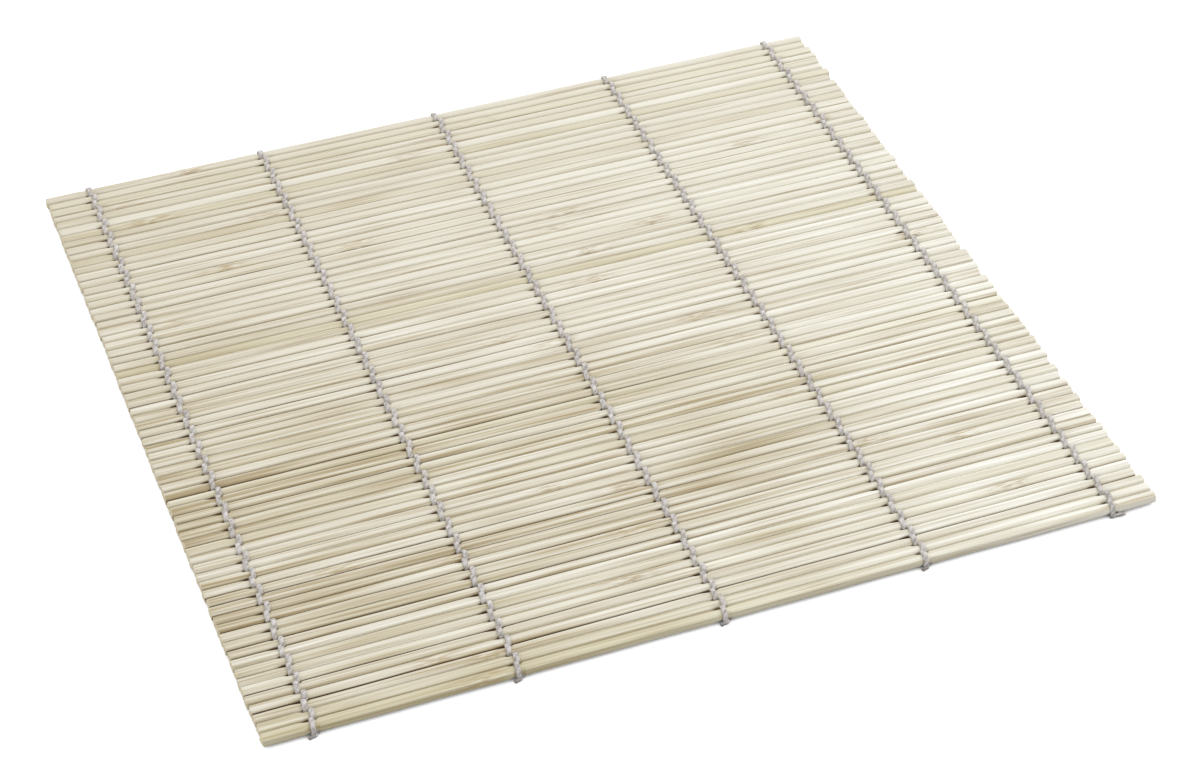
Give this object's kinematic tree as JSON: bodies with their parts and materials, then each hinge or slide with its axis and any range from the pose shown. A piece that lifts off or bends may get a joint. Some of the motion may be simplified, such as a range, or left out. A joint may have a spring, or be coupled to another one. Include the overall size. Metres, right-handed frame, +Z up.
{
  "type": "sushi rolling mat",
  "caption": "Flat flexible mat of round bamboo splints laid side by side and woven together by five knotted cotton cords, which rolls up from its front edge.",
  "frame": {"origin": "middle of the mat on the surface that it lies on, the centre of the bounding box's base", "axes": "+X along the splints to the right, +Y from the knotted front edge to the folded back edge, +Z up from the surface"},
  "size_m": [0.24, 0.2306, 0.0042],
  "materials": {
    "bamboo": "bare split bamboo, scraped smooth, satin",
    "cotton_cord": "twisted cotton yarn, matte"
  },
  "bodies": {
    "link_01": {"splints_01_02": "bamboo", "cord_1": "cotton_cord", "cord_2": "cotton_cord", "cord_3": "cotton_cord", "cord_4": "cotton_cord", "cord_5": "cotton_cord"},
    "link_02": {"splints_03_04": "bamboo"},
    "link_03": {"splints_05_06": "bamboo"},
    "link_04": {"splints_07_08": "bamboo"},
    "link_05": {"splints_09_10": "bamboo"},
    "link_06": {"splints_11_12": "bamboo"},
    "link_07": {"splints_13_14": "bamboo"},
    "link_08": {"splints_15_16": "bamboo"},
    "link_09": {"splints_17_18": "bamboo"},
    "link_10": {"splints_19_20": "bamboo"},
    "link_11": {"splints_21_22": "bamboo"},
    "link_12": {"splints_23_24": "bamboo"},
    "link_13": {"splints_25_26": "bamboo"},
    "link_14": {"splints_27_28": "bamboo"},
    "link_15": {"splints_29_30": "bamboo"},
    "link_16": {"splints_31_32": "bamboo"},
    "link_17": {"splint_33": "bamboo"},
    "link_18": {"splint_34": "bamboo"},
    "link_19": {"splint_35": "bamboo"},
    "link_20": {"splint_36": "bamboo"},
    "link_21": {"splint_37": "bamboo"},
    "link_22": {"splint_38": "bamboo"},
    "link_23": {"splint_39": "bamboo"},
    "link_24": {"splint_40": "bamboo"},
    "link_25": {"splint_41": "bamboo"},
    "link_26": {"splint_42": "bamboo"},
    "link_27": {"splint_43": "bamboo"},
    "link_28": {"splint_44": "bamboo"},
    "link_29": {"splint_45": "bamboo"},
    "link_30": {"splint_46": "bamboo"},
    "link_31": {"splint_47": "bamboo"},
    "link_32": {"splint_48": "bamboo"},
    "link_33": {"splint_49": "bamboo"},
    "link_34": {"splint_50": "bamboo"},
    "link_35": {"splint_51": "bamboo"},
    "link_36": {"splint_52": "bamboo"},
    "link_37": {"splint_53": "bamboo"},
    "link_38": {"splint_54": "bamboo"},
    "link_39": {"splint_55": "bamboo"},
    "link_40": {"splint_56": "bamboo"},
    "link_41": {"splint_57": "bamboo"},
    "link_42": {"splint_58": "bamboo"},
    "link_43": {"splint_59": "bamboo"},
    "link_44": {"splint_60": "bamboo"},
    "link_45": {"splint_61": "bamboo"},
    "link_46": {"splint_62": "bamboo"},
    "link_47": {"splint_63": "bamboo"},
    "link_48": {"splint_64": "bamboo"},
    "link_49": {"splint_65": "bamboo"},
    "link_50": {"splint_66": "bamboo"},
    "link_51": {"splint_67": "bamboo"},
    "link_52": {"splint_68": "bamboo"},
    "link_53": {"splint_69": "bamboo"},
    "link_54": {"splint_70": "bamboo"},
    "link_55": {"splint_71": "bamboo"}
  },
  "joints": [
    {"name": "bend_02_03", "type": "hinge", "parent": "link_01", "child": "link_02", "pos_m": [0, 0.10769, 0.00209], "axis": [-1, 0, 0], "range_deg": [0, 17.6], "deforming": ["cord_1", "cord_2", "cord_3", "cord_4", "cord_5"]},
    {"name": "bend_04_05", "type": "hinge", "parent": "link_02", "child": "link_03", "pos_m": [0, 0.10129, 0.00209], "axis": [-1, 0, 0], "range_deg": [0, 17.8]},
    {"name": "bend_06_07", "type": "hinge", "parent": "link_03", "child": "link_04", "pos_m": [0, 0.09489, 0.00209], "axis": [-1, 0, 0], "range_deg": [0, 18]},
    {"name": "bend_08_09", "type": "hinge", "parent": "link_04", "child": "link_05", "pos_m": [0, 0.08849, 0.00209], "axis": [-1, 0, 0], "range_deg": [0, 18.2]},
    {"name": "bend_10_11", "type": "hinge", "parent": "link_05", "child": "link_06", "pos_m": [0, 0.08209, 0.00209], "axis": [-1, 0, 0], "range_deg": [0, 18.4]},
    {"name": "bend_12_13", "type": "hinge", "parent": "link_06", "child": "link_07", "pos_m": [0, 0.07569, 0.00209], "axis": [-1, 0, 0], "range_deg": [0, 18.6]},
    {"name": "bend_14_15", "type": "hinge", "parent": "link_07", "child": "link_08", "pos_m": [0, 0.06929, 0.00209], "axis": [-1, 0, 0], "range_deg": [0, 18.9]},
    {"name": "bend_16_17", "type": "hinge", "parent": "link_08", "child": "link_09", "pos_m": [0, 0.06289, 0.00209], "axis": [-1, 0, 0], "range_deg": [0, 19.1]},
    {"name": "bend_18_19", "type": "hinge", "parent": "link_09", "child": "link_10", "pos_m": [0, 0.05649, 0.00209], "axis": [-1, 0, 0], "range_deg": [0, 19.4]},
    {"name": "bend_20_21", "type": "hinge", "parent": "link_10", "child": "link_11", "pos_m": [0, 0.05009, 0.00209], "axis": [-1, 0, 0], "range_deg": [0, 19.6]},
    {"name": "bend_22_23", "type": "hinge", "parent": "link_11", "child": "link_12", "pos_m": [0, 0.04369, 0.00209], "axis": [-1, 0, 0], "range_deg": [0, 19.9]},
    {"name": "bend_24_25", "type": "hinge", "parent": "link_12", "child": "link_13", "pos_m": [0, 0.03729, 0.00209], "axis": [-1, 0, 0], "range_deg": [0, 20.2]},
    {"name": "bend_26_27", "type": "hinge", "parent": "link_13", "child": "link_14", "pos_m": [0, 0.03089, 0.00209], "axis": [-1, 0, 0], "range_deg": [0, 20.5]},
    {"name": "bend_28_29", "type": "hinge", "parent": "link_14", "child": "link_15", "pos_m": [0, 0.02449, 0.00209], "axis": [-1, 0, 0], "range_deg": [0, 20.8]},
    {"name": "bend_30_31", "type": "hinge", "parent": "link_15", "child": "link_16", "pos_m": [0, 0.01809, 0.00209], "axis": [-1, 0, 0], "range_deg": [0, 21.1]},
    {"name": "bend_32_33", "type": "hinge", "parent": "link_16", "child": "link_17", "pos_m": [0, 0.01169, 0.00209], "axis": [-1, 0, 0], "range_deg": [0, 16.1]},
    {"name": "bend_33_34", "type": "hinge", "parent": "link_17", "child": "link_18", "pos_m": [0, 0.00849, 0.00209], "axis": [-1, 0, 0], "range_deg": [0, 10.8]},
    {"name": "bend_34_35", "type": "hinge", "parent": "link_18", "child": "link_19", "pos_m": [0, 0.00529, 0.00209], "axis": [-1, 0, 0], "range_deg": [0, 10.9]},
    {"name": "bend_35_36", "type": "hinge", "parent": "link_19", "child": "link_20", "pos_m": [0, 0.00209, 0.00209], "axis": [-1, 0, 0], "range_deg": [0, 11]},
    {"name": "bend_36_37", "type": "hinge", "parent": "link_20", "child": "link_21", "pos_m": [0, -0.00111, 0.00209], "axis": [-1, 0, 0], "range_deg": [0, 11.1]},
    {"name": "bend_37_38", "type": "hinge", "parent": "link_21", "child": "link_22", "pos_m": [0, -0.00431, 0.00209], "axis": [-1, 0, 0], "range_deg": [0, 11.2]},
    {"name": "bend_38_39", "type": "hinge", "parent": "link_22", "child": "link_23", "pos_m": [0, -0.00751, 0.00209], "axis": [-1, 0, 0], "range_deg": [0, 11.3]},
    {"name": "bend_39_40", "type": "hinge", "parent": "link_23", "child": "link_24", "pos_m": [0, -0.01071, 0.00209], "axis": [-1, 0, 0], "range_deg": [0, 11.4]},
    {"name": "bend_40_41", "type": "hinge", "parent": "link_24", "child": "link_25", "pos_m": [0, -0.01391, 0.00209], "axis": [-1, 0, 0], "range_deg": [0, 11.5]},
    {"name": "bend_41_42", "type": "hinge", "parent": "link_25", "child": "link_26", "pos_m": [0, -0.01711, 0.00209], "axis": [-1, 0, 0], "range_deg": [0, 11.6]},
    {"name": "bend_42_43", "type": "hinge", "parent": "link_26", "child": "link_27", "pos_m": [0, -0.02031, 0.00209], "axis": [-1, 0, 0], "range_deg": [0, 11.7]},
    {"name": "bend_43_44", "type": "hinge", "parent": "link_27", "child": "link_28", "pos_m": [0, -0.02351, 0.00209], "axis": [-1, 0, 0], "range_deg": [0, 11.8]},
    {"name": "bend_44_45", "type": "hinge", "parent": "link_28", "child": "link_29", "pos_m": [0, -0.02671, 0.00209], "axis": [-1, 0, 0], "range_deg": [0, 11.9]},
    {"name": "bend_45_46", "type": "hinge", "parent": "link_29", "child": "link_30", "pos_m": [0, -0.02991, 0.00209], "axis": [-1, 0, 0], "range_deg": [0, 12]},
    {"name": "bend_46_47", "type": "hinge", "parent": "link_30", "child": "link_31", "pos_m": [0, -0.03311, 0.00209], "axis": [-1, 0, 0], "range_deg": [0, 12.2]},
    {"name": "bend_47_48", "type": "hinge", "parent": "link_31", "child": "link_32", "pos_m": [0, -0.03631, 0.00209], "axis": [-1, 0, 0], "range_deg": [0, 12.3]},
    {"name": "bend_48_49", "type": "hinge", "parent": "link_32", "child": "link_33", "pos_m": [0, -0.03951, 0.00209], "axis": [-1, 0, 0], "range_deg": [0, 12.4]},
    {"name": "bend_49_50", "type": "hinge", "parent": "link_33", "child": "link_34", "pos_m": [0, -0.04271, 0.00209], "axis": [-1, 0, 0], "range_deg": [0, 12.6]},
    {"name": "bend_50_51", "type": "hinge", "parent": "link_34", "child": "link_35", "pos_m": [0, -0.04591, 0.00209], "axis": [-1, 0, 0], "range_deg": [0, 12.7]},
    {"name": "bend_51_52", "type": "hinge", "parent": "link_35", "child": "link_36", "pos_m": [0, -0.04911, 0.00209], "axis": [-1, 0, 0], "range_deg": [0, 12.8]},
    {"name": "bend_52_53", "type": "hinge", "parent": "link_36", "child": "link_37", "pos_m": [0, -0.05231, 0.00209], "axis": [-1, 0, 0], "range_deg": [0, 13]},
    {"name": "bend_53_54", "type": "hinge", "parent": "link_37", "child": "link_38", "pos_m": [0, -0.05551, 0.00209], "axis": [-1, 0, 0], "range_deg": [0, 13.1]},
    {"name": "bend_54_55", "type": "hinge", "parent": "link_38", "child": "link_39", "pos_m": [0, -0.05871, 0.00209], "axis": [-1, 0, 0], "range_deg": [0, 13.3]},
    {"name": "bend_55_56", "type": "hinge", "parent": "link_39", "child": "link_40", "pos_m": [0, -0.06191, 0.00209], "axis": [-1, 0, 0], "range_deg": [0, 13.5]},
    {"name": "bend_56_57", "type": "hinge", "parent": "link_40", "child": "link_41", "pos_m": [0, -0.06511, 0.00209], "axis": [-1, 0, 0], "range_deg": [0, 13.6]},
    {"name": "bend_57_58", "type": "hinge", "parent": "link_41", "child": "link_42", "pos_m": [0, -0.06831, 0.00209], "axis": [-1, 0, 0], "range_deg": [0, 13.8]},
    {"name": "bend_58_59", "type": "hinge", "parent": "link_42", "child": "link_43", "pos_m": [0, -0.07151, 0.00209], "axis": [-1, 0, 0], "range_deg": [0, 14]},
    {"name": "bend_59_60", "type": "hinge", "parent": "link_43", "child": "link_44", "pos_m": [0, -0.07471, 0.00209], "axis": [-1, 0, 0], "range_deg": [0, 14.2]},
    {"name": "bend_60_61", "type": "hinge", "parent": "link_44", "child": "link_45", "pos_m": [0, -0.07791, 0.00209], "axis": [-1, 0, 0], "range_deg": [0, 14.4]},
    {"name": "bend_61_62", "type": "hinge", "parent": "link_45", "child": "link_46", "pos_m": [0, -0.08111, 0.00209], "axis": [-1, 0, 0], "range_deg": [0, 14.6]},
    {"name": "bend_62_63", "type": "hinge", "parent": "link_46", "child": "link_47", "pos_m": [0, -0.08431, 0.00209], "axis": [-1, 0, 0], "range_deg": [0, 14.9]},
    {"name": "bend_63_64", "type": "hinge", "parent": "link_47", "child": "link_48", "pos_m": [0, -0.08751, 0.00209], "axis": [-1, 0, 0], "range_deg": [0, 15.1]},
    {"name": "bend_64_65", "type": "hinge", "parent": "link_48", "child": "link_49", "pos_m": [0, -0.09071, 0.00209], "axis": [-1, 0, 0], "range_deg": [0, 15.3]},
    {"name": "bend_65_66", "type": "hinge", "parent": "link_49", "child": "link_50", "pos_m": [0, -0.09391, 0.00209], "axis": [-1, 0, 0], "range_deg": [0, 15.6]},
    {"name": "bend_66_67", "type": "hinge", "parent": "link_50", "child": "link_51", "pos_m": [0, -0.09711, 0.00209], "axis": [-1, 0, 0], "range_deg": [0, 15.9]},
    {"name": "bend_67_68", "type": "hinge", "parent": "link_51", "child": "link_52", "pos_m": [0, -0.10031, 0.00209], "axis": [-1, 0, 0], "range_deg": [0, 16.1]},
    {"name": "bend_68_69", "type": "hinge", "parent": "link_52", "child": "link_53", "pos_m": [0, -0.10351, 0.00209], "axis": [-1, 0, 0], "range_deg": [0, 16.4]},
    {"name": "bend_69_70", "type": "hinge", "parent": "link_53", "child": "link_54", "pos_m": [0, -0.10671, 0.00209], "axis": [-1, 0, 0], "range_deg": [0, 16.8]},
    {"name": "bend_70_71", "type": "hinge", "parent": "link_54", "child": "link_55", "pos_m": [0, -0.10991, 0.00209], "axis": [-1, 0, 0], "range_deg": [0, 17.1]}
  ]
}
